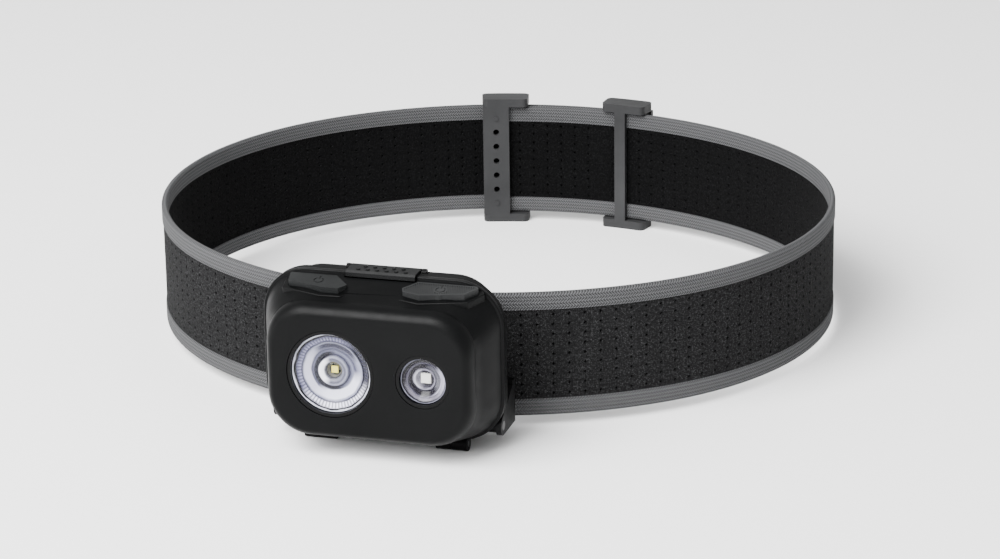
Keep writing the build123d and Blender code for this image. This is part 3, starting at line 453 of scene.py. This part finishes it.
def strap_panel(name, start, stop, body):
    """Perforated knit between two distances along the strap, holes in columns."""
    columns = max(1, round((stop - start) / HOLE_PITCH_ALONG))
    rows = round(PANEL_H / HOLE_PITCH_UP)
    bm = bmesh.new()
    bmesh.ops.create_grid(bm, x_segments=columns, y_segments=rows, size=0.5)
    bmesh.ops.scale(bm, vec=(stop - start, PANEL_H, 1), verts=bm.verts)
    bmesh.ops.translate(bm, vec=((start + stop) / 2, 0, 0), verts=bm.verts)
    inside = STRAP_H / 2 - TAPE_H - HOLE_R * 0.5
    edge = HOLE_PITCH_ALONG * 0.4
    spots = [v for v in bm.verts if abs(v.co.y) < inside and start + edge < v.co.x < stop - edge]
    made = bmesh.ops.bevel(
        bm, geom=spots, offset=HOLE_R, offset_type="OFFSET", segments=2, profile=0.5,
        affect="VERTICES", material=-1,
    )
    holes = [f for f in made["faces"] if f.calc_area() < 4 * HOLE_R * HOLE_R]
    bmesh.ops.delete(bm, geom=holes, context="FACES_ONLY")
    flat = bpy.data.meshes.new(name)
    bm.to_mesh(flat)
    bm.free()
    obj = bpy.data.objects.new(name, flat)
    bpy.context.scene.collection.objects.link(obj)
    wall = obj.modifiers.new("wall", "SOLIDIFY")
    wall.thickness = PANEL_T
    wall.offset = 0
    baked(obj)
    bm = bmesh.new()
    bm.from_mesh(obj.data)
    # Faces that look into the loop take the darker copy of the knit, painted shade.
    for face in bm.faces:
        face.material_index = 1 if face.normal.z < -0.5 else 0
    wrap(bm)
    bpy.data.objects.remove(obj)
    made = piece(name, bm, PANEL, body, 50)
    made.data.materials.append(PANEL_INSIDE_SHADE)
    return made


def cut_along(bm, length):
    """Cuts across a flat strip, often enough for it to bend smoothly."""
    long = [e for e in bm.edges if abs(e.verts[0].co.x - e.verts[1].co.x) > 1]
    bmesh.ops.subdivide_edges(bm, edges=long, cuts=max(2, round(length / BEND_STEP)), use_grid_fill=True)


def strap_tapes(name, start, stop, body):
    """The folded tapes on both edges of the strap."""
    bm = bmesh.new()
    for side in (-1, 1):
        made = bmesh.ops.create_cube(bm, size=1)
        verts = made["verts"]
        bmesh.ops.scale(bm, vec=(stop - start, TAPE_H, TAPE_T), verts=verts)
        middle = side * (STRAP_H - TAPE_H) / 2
        bmesh.ops.translate(bm, vec=((start + stop) / 2, middle, 0), verts=verts)
        edges = {e for v in verts for e in v.link_edges}
        long = [e for e in edges if abs(e.verts[0].co.x - e.verts[1].co.x) > 1]
        outer = [e for e in long if abs(e.verts[0].co.y) > STRAP_H / 2 - 1]
        inner = [e for e in long if e not in outer]
        for group, round_off, steps in ((outer, 0.7, 4), (inner, 0.2, 2)):
            bmesh.ops.bevel(
                bm, geom=group, offset=round_off, offset_type="OFFSET", segments=steps, profile=0.5,
                affect="EDGES", material=-1,
            )
    cut_along(bm, stop - start)
    wrap(bm)
    return piece(name, bm, TAPE, body, 50)


def strap_shade_sheet(name, start, stop, body):
    """A thin near-black sheet in the middle of the panel, which closes its holes: painted shade seen through
    them.
    """
    bm = bmesh.new()
    made = bmesh.ops.create_cube(bm, size=1)
    bmesh.ops.scale(bm, vec=(stop - start, PANEL_H - 2, SHADE_SHEET_T), verts=bm.verts)
    bmesh.ops.translate(bm, vec=((start + stop) / 2, 0, 0), verts=bm.verts)
    cut_along(bm, stop - start)
    wrap(bm)
    return piece(name, bm, HOLE_SHADE, body, 50)


OUTER_SPLIT = along_outer(OUTER_SPLIT_DEG)
INNER_SPLIT = along_inner(INNER_SPLIT_DEG)
panel = strap_panel("band_panel", OUTER_SPLIT, INNER_SPLIT, "headband")
tapes = strap_tapes("band_tapes", OUTER_SPLIT, INNER_SPLIT, "headband")
strap_shade_sheet("band_shade_sheet", OUTER_SPLIT, INNER_SPLIT, "headband")
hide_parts("strap_panel")
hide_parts("upper_binding", "lower_binding")


for layer, ends, buckle_body, span in (
    ("outer", (0.0, OUTER_SPLIT), "right_buckle", (OUTER_SPLIT_DEG, RIGHT_BUCKLE_EDGE_DEG)),
    ("inner", (INNER_SPLIT, BAND_LENGTH), "left_buckle", (INNER_SPLIT_DEG, LEFT_BUCKLE_EDGE_DEG)),
):
    for build, kind in ((strap_panel, "panel"), (strap_tapes, "tapes"), (strap_shade_sheet, "shade_sheet")):
        tail = build(f"{layer}_tail_{kind}", *ends, None)
        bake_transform(tail)


# ------------------------------------------------------------------ lamp shell
RIM = (31.25, -16.0, 26.0, 12.0)
EDGE = (26.9, -13.9, 21.3, 11.0)
FACE = (24.2, -11.5, 18.0, 9.6)
SPLIT_Y = -102.0
EDGE_Y = -112.3
LIP_Y = SPLIT_Y - 1.4
LIP_STEP = 0.75
RIM_WALL = 2.6
SPLIT_GAP = 0.05
SHELL_WALL = 1.5
FACE_STEPS = 10
SPOT_OPENING = 11.3
FLOOD_OPENING = 6.9
HINGE_Z = -17.4
HINGE_R = 1.9
PIVOT = (-100.0, -12.5)
ARM_R = 3.1
ARM_INSIDE_X = 28.4
CUT_END_X = 34
LATCH_HALF = 9.3
LATCH_FRONT_Y = -104.5
LATCH_FLOOR_Z = 24.3
REAR_KNUCKLE = (17.3, 21.6)
KNUCKLE_IN = 13.2
KNUCKLE_OUT = 17.2
KNUCKLE_ROOM = 0.35


def rounded_loop(bm, half, low, high, radius, y):
    """A rounded rectangle across the lamp; returns its face."""
    made = bmesh.ops.create_grid(bm, x_segments=1, y_segments=1, size=0.5)
    verts = made["verts"]
    bmesh.ops.scale(bm, vec=(2 * half, high - low, 1), verts=verts)
    bmesh.ops.rotate(bm, cent=(0, 0, 0), matrix=Matrix.Rotation(pi / 2, 3, "X"), verts=verts)
    bmesh.ops.translate(bm, vec=(0, y, (low + high) / 2), verts=verts)
    before = {e for e in bm.edges if not any(v in verts for v in e.verts)}
    bmesh.ops.bevel(
        bm, geom=verts, offset=radius, offset_type="OFFSET", segments=14, profile=0.5, affect="VERTICES",
        material=-1,
    )
    edges = [e for e in bm.edges if e not in before]
    return edges, [f for f in bm.faces if all(e in edges for e in f.edges)][0]


def between(first, last, share):
    """Sizes part of the way from one outline to another."""
    return tuple(a + (b - a) * share for a, b in zip(first, last))


def grown(sizes, amount):
    """An outline moved outwards by an even amount."""
    half, low, high, radius = sizes
    return half + amount, low - amount, high + amount, radius + amount


def tool_object(name, bm):
    """A closed shape that cuts another one and is then removed."""
    bmesh.ops.recalc_face_normals(bm, faces=bm.faces)
    mesh = bpy.data.meshes.new(name)
    bm.to_mesh(mesh)
    bm.free()
    obj = bpy.data.objects.new(name, mesh)
    bpy.context.scene.collection.objects.link(obj)
    return obj


def bar(radius, low_x, high_x, y, z, steps=48):
    """Round bar along X."""
    bm = bmesh.new()
    bmesh.ops.create_cone(
        bm, cap_ends=True, segments=steps, radius1=radius, radius2=radius, depth=high_x - low_x
    )
    bmesh.ops.rotate(bm, cent=(0, 0, 0), matrix=Matrix.Rotation(pi / 2, 3, "Y"), verts=bm.verts)
    bmesh.ops.translate(bm, vec=((low_x + high_x) / 2, y, z), verts=bm.verts)
    return bm


def bore(radius, centre, front, behind, steps=96):
    """Round bar along Y, for an opening."""
    bm = bmesh.new()
    bmesh.ops.create_cone(
        bm, cap_ends=True, segments=steps, radius1=radius, radius2=radius, depth=behind - front
    )
    bmesh.ops.rotate(bm, cent=(0, 0, 0), matrix=Matrix.Rotation(pi / 2, 3, "X"), verts=bm.verts)
    bmesh.ops.translate(bm, vec=(centre[0], (front + behind) / 2, centre[1]), verts=bm.verts)
    return bm


def block(low, high):
    """A plain box between two corners."""
    bm = bmesh.new()
    bmesh.ops.create_cube(bm, size=1)
    bmesh.ops.scale(bm, vec=[b - a for a, b in zip(low, high)], verts=bm.verts)
    bmesh.ops.translate(bm, vec=[(a + b) / 2 for a, b in zip(low, high)], verts=bm.verts)
    return bm


# plane of the button tops
BUTTON_Y = -107.3
BUTTON_Z = 24.5
BUTTON_LEAN = radians(11.0)
POWER_CAP = [(-23.3, 3.1), (-11.2, 3.1), (-7.2, -1.1), (-9.0, -3.1), (-13.2, -3.1), (-22.6, -0.8)]
MODE_CAP = [(9.9, 3.1), (25.0, 3.1), (25.6, 2.2), (22.9, -1.2), (11.9, -3.3), (7.4, -2.2), (6.8, -0.5)]
POWER_COLLAR = [
    (-24.7, 4.4), (-10.6, 4.4), (-6.6, 0.2), (-4.2, -1.5), (-8.2, -4.4), (-13.6, -4.6), (-24.0, -2.0),
]
MODE_COLLAR = [
    (9.2, 4.4), (25.8, 4.4), (27.0, 2.3), (24.0, -2.4), (12.0, -4.9), (6.9, -3.8), (4.4, -1.3), (5.9, 0.3),
]
CAP_GAP = 0.25
CAP_POCKET = 3.3
COLLAR_TOP = 1.5
COLLAR_FOOT = 3.9


def slab(points, top, bottom, grow=0.0):
    """A flat prism on the button plane, between two depths below the cap tops."""
    bm = bmesh.new()
    face = bm.faces.new([bm.verts.new((x, y, 0)) for x, y in points])
    if grow:
        rim = bmesh.ops.inset_region(bm, faces=[face], thickness=grow, use_outset=True, use_even_offset=True)
        bmesh.ops.dissolve_faces(bm, faces=rim["faces"] + [face])
    made = bmesh.ops.extrude_face_region(bm, geom=bm.faces[:])
    lower = [v for v in made["geom"] if isinstance(v, bmesh.types.BMVert)]
    bmesh.ops.translate(bm, vec=(0, 0, top - bottom), verts=lower)
    bmesh.ops.translate(bm, vec=(0, 0, -top), verts=bm.verts)
    bmesh.ops.rotate(bm, cent=(0, 0, 0), matrix=Matrix.Rotation(BUTTON_LEAN, 3, "X"), verts=bm.verts)
    bmesh.ops.translate(bm, vec=(0, BUTTON_Y, BUTTON_Z), verts=bm.verts)
    return bm


def shaped(name, bm, cuts, material, round_off, joined=(), angle=28):
    """Joins and cuts a closed shape, rounds its edges and puts it in the row frame."""
    obj = tool_object(name + "_draft", bm)
    helpers = []
    for kind, tools in (("UNION", joined), ("DIFFERENCE", cuts)):
        for index, tool in enumerate(tools):
            other = tool_object(f"{name}_{kind.lower()}_{index}", tool)
            step = obj.modifiers.new(other.name, "BOOLEAN")
            step.operation = kind
            step.solver = "EXACT"
            step.object = other
            helpers.append(other)
    baked(obj)
    edge = obj.modifiers.new("edges", "BEVEL")
    edge.width = round_off
    edge.segments = 3
    edge.limit_method = "ANGLE"
    edge.angle_limit = radians(angle)
    edge.use_clamp_overlap = True
    baked(obj)
    bm = bmesh.new()
    bm.from_mesh(obj.data)
    for helper in helpers + [obj]:
        bpy.data.objects.remove(helper)
    for vert in bm.verts:
        vert.co = at(*vert.co)
    return piece(name, bm, material, "lamp_head", 32)


def shell_form():
    """The shell's outside and its hollow, as one closed wall."""
    outside = [
        (RIM, SPLIT_Y - SPLIT_GAP), (RIM, LIP_Y + 0.25), (grown(RIM, -0.2), LIP_Y + 0.05),
        (grown(RIM, -LIP_STEP), LIP_Y),
    ]
    lip = grown(RIM, -LIP_STEP)
    for share in (0.25, 0.5, 0.75, 1.0):
        bulge = 0.25 * sin(share * pi)
        depth = LIP_Y + share * (EDGE_Y - LIP_Y)
        outside.append((grown(between(lip, EDGE, share), bulge), depth))
    for step in range(1, FACE_STEPS + 1):
        turn = pi / 2 * step / FACE_STEPS
        outside.append((between(EDGE, FACE, 1 - cos(turn)), EDGE_Y + (FACE_Y - EDGE_Y) * sin(turn)))
    inside = [
        (grown(RIM, -RIM_WALL), SPLIT_Y - SPLIT_GAP), (grown(EDGE, -SHELL_WALL), EDGE_Y),
        (grown(FACE, -SHELL_WALL), FACE_Y + SHELL_WALL + 1.0),
        (grown(FACE, -SHELL_WALL - 1), FACE_Y + SHELL_WALL),
    ]
    bm = bmesh.new()
    rings, last = [], None
    for loops in (outside, inside):
        row = []
        for sizes, y in loops:
            edges, face = rounded_loop(bm, *sizes, y)
            row.append(edges)
            if (sizes, y) != loops[-1]:
                bmesh.ops.delete(bm, geom=[face], context="FACES_ONLY")
        rings.append(row)
    for row in rings:
        for first, second in zip(row, row[1:]):
            bmesh.ops.bridge_loops(bm, edges=first + second)
    bmesh.ops.bridge_loops(bm, edges=rings[0][0] + rings[1][0])
    return bm


hinge_bars = [
    bar(HINGE_R, *span, SPLIT_Y, HINGE_Z) for span in ((KNUCKLE_IN, KNUCKLE_OUT), (-KNUCKLE_OUT, -KNUCKLE_IN))
]
shell_cuts = [
    bore(SPOT_OPENING, SPOT, FACE_Y - 2, FACE_Y + 4),
    bore(FLOOD_OPENING, FLOOD, FACE_Y - 2, FACE_Y + 4),
    slab(POWER_CAP, -3, CAP_POCKET, CAP_GAP),
    slab(MODE_CAP, -3, CAP_POCKET, CAP_GAP),
    block((-LATCH_HALF, LATCH_FRONT_Y, LATCH_FLOOR_Z), (LATCH_HALF, -100, 28)),
    bar(HINGE_R + KNUCKLE_ROOM, *REAR_KNUCKLE, SPLIT_Y, HINGE_Z),
    bar(HINGE_R + KNUCKLE_ROOM, -REAR_KNUCKLE[1], -REAR_KNUCKLE[0], SPLIT_Y, HINGE_Z),
    bar(ARM_R, ARM_INSIDE_X, CUT_END_X, *PIVOT),
    bar(ARM_R, -CUT_END_X, -ARM_INSIDE_X, *PIVOT),
]
shell = shaped("lamp_shell", shell_form(), shell_cuts, SHELL, 0.3, hinge_bars)
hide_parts("front_shell")
for side, collar, cap in (("power", POWER_COLLAR, POWER_CAP), ("mode", MODE_COLLAR, MODE_CAP)):
    ring, room = slab(collar, COLLAR_TOP, COLLAR_FOOT), slab(cap, -3, CAP_POCKET, CAP_GAP)
    shaped(f"{side}_collar", ring, [room], SHELL, 0.22)


# ------------------------------------------------------------------ optics
LENS_Y = -115.6
SPOT_STEPS = 144
FLOOD_STEPS = 96
DOME_STEPS = 64
SMALL_DOME_STEPS = 48
OPTIC_SHADE = 0.75
OPTIC_CURVE = 1.5
# Share of painted shade in the flutes of the spot optic.
FLUTE_SHADE_SHARE = 0.75
# Colours of the painted shade rings and the painted highlight rim on the optics.
DARK = (0.012, 0.012, 0.018)
PALE = (0.82, 0.83, 0.92)


def turned(name, centre, profile, steps, material, flute=None):
    """A round piece on a lens axis; the profile is radius and depth behind the lens front.

    A flute raises every second step between two radii by a depth.
    """
    bm = bmesh.new()
    verts = [bm.verts.new((radius, LENS_Y + depth, 0)) for radius, depth in profile]
    edges = [bm.edges.new(pair) for pair in zip(verts, verts[1:])]
    bmesh.ops.spin(
        bm, geom=verts + edges, cent=(0, 0, 0), axis=(0, 1, 0), angle=2 * pi, steps=steps, use_merge=True,
    )
    bmesh.ops.remove_doubles(bm, verts=bm.verts, dist=0.0005)
    if flute:
        low, high, depth = flute
        for vert in bm.verts:
            radius = hypot(vert.co.x, vert.co.z)
            if low <= radius <= high:
                step = round((atan2(vert.co.z, vert.co.x) % (2 * pi)) / (2 * pi) * steps)
                vert.co.y += depth * (step % 2)
    bmesh.ops.recalc_face_normals(bm, faces=bm.faces)
    for vert in bm.verts:
        vert.co = at(vert.co.x + centre[0], vert.co.y, vert.co.z + centre[1])
    return piece(name, bm, material, "lamp_head")


def optic_finish(name, centre, stops, top, painted_patches, flutes=None):
    """Moulded clear optic: rings of painted light and shade, with painted highlights and painted shade on
    some sides of the axis.

    A stop is a radius and its painted colour, a patch is a direction, half its width, two radii and a
    colour, and the flutes are a count, two radii and the painted shade between them.
    """
    finish = Finish(name, (0.7, 0.7, 0.75), 0.15, Specular_IOR_Level=0.25)
    radius, angle = finish.polar(centre)
    cloud = finish.noise(finish.place(), 330, 2.0)
    shifted = finish.maths("ADD", radius, finish.spread(cloud, 0.3, 0.7, -0.12, 0.12))
    # Rings of painted light and shade that stand in for what the clear optic reflects and refracts; nothing
    # here refracts.
    colour = finish.bands(shifted, stops, top)
    # Painted highlights and painted shade on chosen sides of the axis, in bands between two radii.
    for middle, half, low, high, shade in painted_patches:
        side = finish.maths("MULTIPLY", finish.facing(angle, middle, half), 1.6)
        share = finish.maths("MULTIPLY", side, finish.within(shifted, low, high, 0.22))
        colour = finish.mix(finish.maths("MINIMUM", share, 1.0), colour, shade)
    # Painted shade in the flutes: dark ticks round the axis between two radii.
    if flutes:
        count, low, high, dark = flutes
        ticks = finish.spread(finish.maths("SINE", finish.maths("MULTIPLY", angle, count)), -0.6, 0.9)
        ticks = finish.maths("MULTIPLY", ticks, finish.within(radius, low, high, 0.15))
        colour = finish.mix(finish.maths("MULTIPLY", ticks, FLUTE_SHADE_SHARE), colour, dark)
    finish.colour(colour)
    finish.relief(cloud, 0.00006, 0.5)
    return finish.mat


def clear(name, colour, rough, alpha):
    """Clear cover plastic with the faintest surface ripple."""
    finish = Finish(name, colour, rough, Alpha=alpha)
    finish.relief(finish.noise(finish.place(), 500, 2.0), 0.00001, 0.4)
    return finish.mat


# Spot optic: its rings, dark crescents and bright patches are painted light and shade.
BOWL = optic_finish(
    "spot optic, painted light", SPOT,
    [
        (0, (0.4, 0.38, 0.2)), (1.5, (0.42, 0.42, 0.4)), (2.0, (0.1, 0.1, 0.13)), (2.4, (0.4, 0.41, 0.48)),
        (3.1, (0.2, 0.2, 0.26)), (3.6, (0.48, 0.49, 0.58)), (4.2, (0.14, 0.14, 0.2)),
        (4.9, (0.36, 0.37, 0.48)), (5.6, (0.15, 0.15, 0.22)), (6.6, (0.42, 0.43, 0.54)),
        (7.5, (0.5, 0.51, 0.62)), (7.9, (0.09, 0.09, 0.14)), (8.3, (0.5, 0.5, 0.66)),
        (9.1, (0.3, 0.3, 0.42)), (9.4, DARK), (9.75, DARK), (9.95, PALE),
    ],
    11,
    [
        (180, 75, 2.5, 3.8, (0.9, 0.9, 0.98)), (140, 60, 3.9, 5.0, DARK), (236, 75, 4.0, 5.2, DARK),
        (200, 80, 5.8, 7.4, (0.5, 0.5, 0.62)), (295, 70, 5.2, 7.2, (0.68, 0.69, 0.82)),
        (78, 56, 6.2, 7.4, (0.03, 0.03, 0.05)), (2, 75, 7.9, 9.5, DARK),
        (280, 70, 8.2, 9.3, (0.8, 0.8, 0.95)),
    ],
    (66, 8.1, 9.4, (0.03, 0.03, 0.06)),
)
# Flood optic: its rings and patches are painted light and shade.
FLOOD_BOWL = optic_finish(
    "flood optic, painted light", FLOOD,
    [
        (0, (0.3, 0.29, 0.32)), (1.5, (0.2, 0.19, 0.23)), (2.0, (0.05, 0.045, 0.065)),
        (2.3, (0.28, 0.27, 0.33)), (2.6, (0.42, 0.41, 0.48)), (2.9, (0.06, 0.055, 0.08)),
        (3.6, (0.035, 0.03, 0.045)), (4.1, (0.07, 0.065, 0.09)), (4.4, (0.24, 0.23, 0.29)),
        (4.7, (0.06, 0.055, 0.08)), (5.2, (0.04, 0.035, 0.05)), (5.5, DARK), (5.65, (0.3, 0.3, 0.36)),
    ],
    7,
    [
        (350, 62, 4.2, 5.3, (0.34, 0.33, 0.41)), (265, 80, 4.5, 5.2, (0.15, 0.14, 0.18)),
        (180, 80, 1.8, 2.9, (0.4, 0.39, 0.46)), (20, 70, 2.9, 4.0, (0.09, 0.09, 0.11)),
    ],
)
COVER = clear("clear cover", (0.02, 0.02, 0.025), 0.03, 0.1)
DOME = clear("clear dome", (0.06, 0.06, 0.07), 0.05, 0.15)
# Both dies glow faintly though the lamp is off: painted light that makes them read bright through the optics.
PHOSPHOR = Finish(
    "phosphor", (0.85, 0.76, 0.12), 0.5, Emission_Color=(1, 0.85, 0.15, 1), Emission_Strength=0.6
).mat
WHITE_DIE = Finish(
    "white die", (0.95, 0.94, 0.9), 0.45, Emission_Color=(1, 0.98, 0.92, 1), Emission_Strength=0.25
).mat

spot_bowl = turned(
    "spot_bowl", SPOT,
    [(10.28, 1.3), (10.28, 0.15), (10.1, 0.0), (9.85, 0.05), (9.75, 0.3), (9.5, 0.35), (9.3, 0.45),
     (8.9, 0.6), (8.5, 0.8), (8.15, 1.0), (8.0, 0.85), (7.8, 0.95), (7.0, 1.3), (6.2, 1.6),
     (5.4, 1.85), (4.8, 2.0),
     (4.2, 2.05), (3.9, 1.5), (3.6, 1.35), (2.8, 1.45), (2.3, 1.75), (1.7, 2.4), (1.5, 3.4)],
    SPOT_STEPS, BOWL, flute=(8.3, 9.4, 0.12),
)
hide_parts("spot_lens")
turned(
    "spot_dome", SPOT,
    [(2.5, 1.9), (2.4, 1.55), (2.0, 1.2), (1.4, 0.98), (0.7, 0.88), (0.0, 0.85)],
    DOME_STEPS, DOME,
)
turned("spot_cover", SPOT, [(10.05, 0.25), (6.0, 0.12), (0.0, 0.08)], DOME_STEPS, COVER)
flood_bowl = turned(
    "flood_bowl", FLOOD,
    [(5.93, 1.3), (5.93, 0.15), (5.8, 0.0), (5.55, 0.05), (5.45, 0.3), (5.1, 0.5), (4.7, 0.65), (4.5, 0.58),
     (4.2, 0.75), (3.6, 1.1), (3.2, 1.3), (2.9, 1.4), (2.7, 1.15), (2.4, 1.2), (2.2, 1.6), (2.1, 2.8),
     (0.0, 3.0)],
    FLOOD_STEPS, FLOOD_BOWL,
)
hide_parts("flood_lens")
turned(
    "flood_dome", FLOOD,
    [(2.3, 1.5), (2.1, 1.2), (1.6, 0.95), (0.9, 0.8), (0.0, 0.75)],
    SMALL_DOME_STEPS, DOME,
)
turned("flood_cover", FLOOD, [(5.75, 0.25), (3.0, 0.14), (0.0, 0.1)], SMALL_DOME_STEPS, COVER)
for name, centre, half, finish, depth in (
    ("spot_die", SPOT, 0.9, PHOSPHOR, 2.9),
    ("flood_die", FLOOD, 1.3, WHITE_DIE, 2.3),
):
    bm = bmesh.new()
    bmesh.ops.create_cube(bm, size=1)
    bmesh.ops.scale(bm, vec=(2 * half, 0.5, 2 * half), verts=bm.verts)
    bmesh.ops.bevel(
        bm, geom=bm.edges, offset=0.12, offset_type="OFFSET", segments=2, profile=0.5,
        affect="EDGES", material=-1,
    )
    for vert in bm.verts:
        vert.co = at(vert.co.x + centre[0], vert.co.y + LENS_Y + depth, vert.co.z + centre[1])
    piece(name, bm, finish, "lamp_head")


# ------------------------------------------------------------------ floor and light
floor_bm = bmesh.new()
bmesh.ops.create_grid(floor_bm, x_segments=1, y_segments=1, size=6)
floor_mesh = bpy.data.meshes.new("floor")
floor_bm.to_mesh(floor_mesh)
floor_bm.free()
floor = bpy.data.objects.new("floor", floor_mesh)
bpy.context.scene.collection.objects.link(floor)
floor_mesh.materials.append(Finish("pale floor", (0.93, 0.93, 0.93), 0.8).mat)

world = bpy.data.worlds.new("studio")
bpy.context.scene.world = world
world.use_nodes = True
world.node_tree.nodes["Background"].inputs["Color"].default_value = (1, 1, 1, 1)
world.node_tree.nodes["Background"].inputs["Strength"].default_value = 1.0


def softbox(name, spot, target, width, height, power):
    """A large soft light that points at a target."""
    lamp = bpy.data.lights.new(name, "AREA")
    lamp.shape = "RECTANGLE"
    lamp.size = width
    lamp.size_y = height
    lamp.energy = power
    obj = bpy.data.objects.new(name, lamp)
    bpy.context.scene.collection.objects.link(obj)
    obj.location = spot
    obj.rotation_euler = (Vector(target) - Vector(spot)).to_track_quat("-Z", "Y").to_euler()


softbox("top_light", (-0.35, -0.73, 1.0), (0, -0.1, 0.02), 1.0, 0.7, 46)
softbox("front_light", (-0.55, -1.45, 0.85), (0, -0.1, 0.02), 0.9, 0.6, 30)
softbox("left_light", (-1.3, -0.6, 0.5), (0, -0.1, 0.02), 0.5, 0.9, 5)
